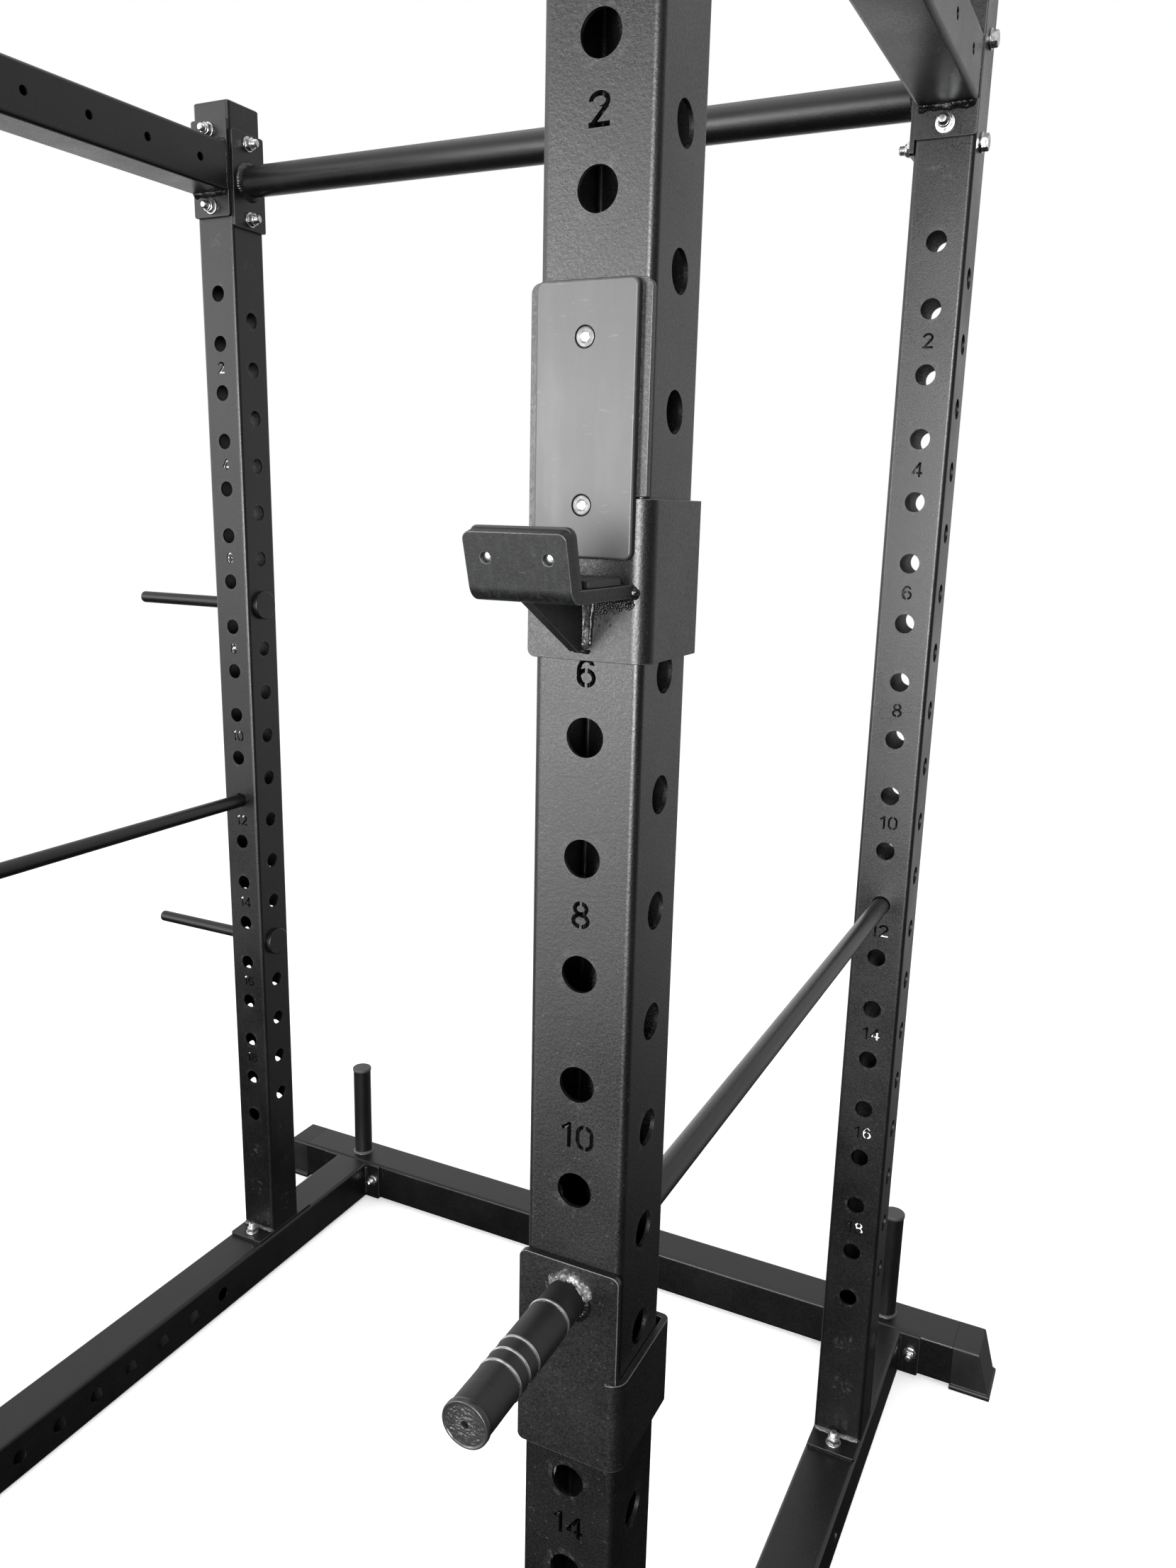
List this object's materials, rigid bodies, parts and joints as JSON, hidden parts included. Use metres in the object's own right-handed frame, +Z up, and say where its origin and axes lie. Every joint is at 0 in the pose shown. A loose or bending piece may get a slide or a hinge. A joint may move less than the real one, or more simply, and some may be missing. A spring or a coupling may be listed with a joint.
{
  "type": "power cage",
  "caption": "Free-standing square-tube power cage with rows of holes, round pull-up bars, removable safety bars, barbell hooks, dip handles, band pegs and storage pins.",
  "frame": {"origin": "centre of the footprint, on the floor", "axes": "+X to the right seen from the front, +Y to the back where the rear beam is, +Z up"},
  "size_m": [1.638, 1.5314, 2.156],
  "materials": {
    "black_powder_coat": "satin black powder coat, finely mottled",
    "black_plastic": "moulded, satin",
    "grey_cap_plastic": "moulded, satin",
    "grey_liner_plastic": "smooth wear plastic, satin",
    "black_grip": "fine knurled texture",
    "bar_steel": "black satin",
    "zinc_plate": "bright zinc plating",
    "bright_steel": "bright ring"
  },
  "bodies": {
    "frame": {"upright_front_left": "black_powder_coat", "upright_front_right": "black_powder_coat", "upright_rear_left": "black_powder_coat", "upright_rear_right": "black_powder_coat", "pullup_bar_front": "black_powder_coat", "pullup_plates_front": "black_powder_coat", "pullup_bar_rear": "black_powder_coat", "pullup_plates_rear": "black_powder_coat", "base_rail_left": "black_powder_coat", "crossmember_left": "black_powder_coat", "crossmember_plates_left": "black_powder_coat", "rail_front_foot_left": "black_plastic", "beam_foot_left": "black_plastic", "band_peg_left": "black_powder_coat", "band_peg_cap_left": "grey_cap_plastic", "base_rail_right": "black_powder_coat", "crossmember_right": "black_powder_coat", "crossmember_plates_right": "black_powder_coat", "rail_front_foot_right": "black_plastic", "beam_foot_right": "black_plastic", "band_peg_right": "black_powder_coat", "band_peg_cap_right": "grey_cap_plastic", "rear_beam": "black_powder_coat", "rail_plates": "black_powder_coat", "foot_plates": "black_powder_coat", "upright_caps": "black_plastic", "frame_bolts": "zinc_plate", "frame_nuts": "zinc_plate", "frame_washers": "zinc_plate"},
    "jhook_left": {"jhook_bracket_left": "black_powder_coat", "jhook_hook_left": "black_powder_coat", "jhook_back_liner_left": "grey_liner_plastic", "jhook_shelf_liner_left": "black_plastic", "jhook_lip_liner_left": "black_plastic", "jhook_screws_left": "zinc_plate"},
    "dip_handle_left": {"dip_bracket_left": "black_powder_coat", "dip_grip_left": "black_grip", "dip_grip_rings_left": "bright_steel", "dip_grip_cap_left": "black_plastic"},
    "safety_left": {"safety_bar_left": "bar_steel"},
    "jhook_right": {"jhook_bracket_right": "black_powder_coat", "jhook_hook_right": "black_powder_coat", "jhook_back_liner_right": "grey_liner_plastic", "jhook_shelf_liner_right": "black_plastic", "jhook_lip_liner_right": "black_plastic", "jhook_screws_right": "zinc_plate"},
    "dip_handle_right": {"dip_bracket_right": "black_powder_coat", "dip_grip_right": "black_grip", "dip_grip_rings_right": "bright_steel", "dip_grip_cap_right": "black_plastic"},
    "safety_right": {"safety_bar_right": "bar_steel"},
    "pin_upper": {"storage_pin_upper": "bar_steel"},
    "pin_lower": {"storage_pin_lower": "bar_steel"}
  },
  "joints": [
    {"name": "jhook_left_pull", "type": "slide", "parent": "frame", "child": "jhook_left", "axis": [-1, 0, 0], "range_m": [0, 0.1]},
    {"name": "dip_handle_left_pull", "type": "slide", "parent": "frame", "child": "dip_handle_left", "axis": [-1, 0, 0], "range_m": [0, 0.1]},
    {"name": "safety_left_slide", "type": "slide", "parent": "frame", "child": "safety_left", "axis": [0, 1, 0], "range_m": [0, 1.1]},
    {"name": "jhook_right_pull", "type": "slide", "parent": "frame", "child": "jhook_right", "axis": [1, 0, 0], "range_m": [0, 0.1]},
    {"name": "dip_handle_right_pull", "type": "slide", "parent": "frame", "child": "dip_handle_right", "axis": [1, 0, 0], "range_m": [0, 0.1]},
    {"name": "safety_right_slide", "type": "slide", "parent": "frame", "child": "safety_right", "axis": [0, 1, 0], "range_m": [0, 1.1]},
    {"name": "pin_upper_slide", "type": "slide", "parent": "frame", "child": "pin_upper", "axis": [1, 0, 0], "range_m": [0, 0.31]},
    {"name": "pin_lower_slide", "type": "slide", "parent": "frame", "child": "pin_lower", "axis": [1, 0, 0], "range_m": [0, 0.31]}
  ]
}
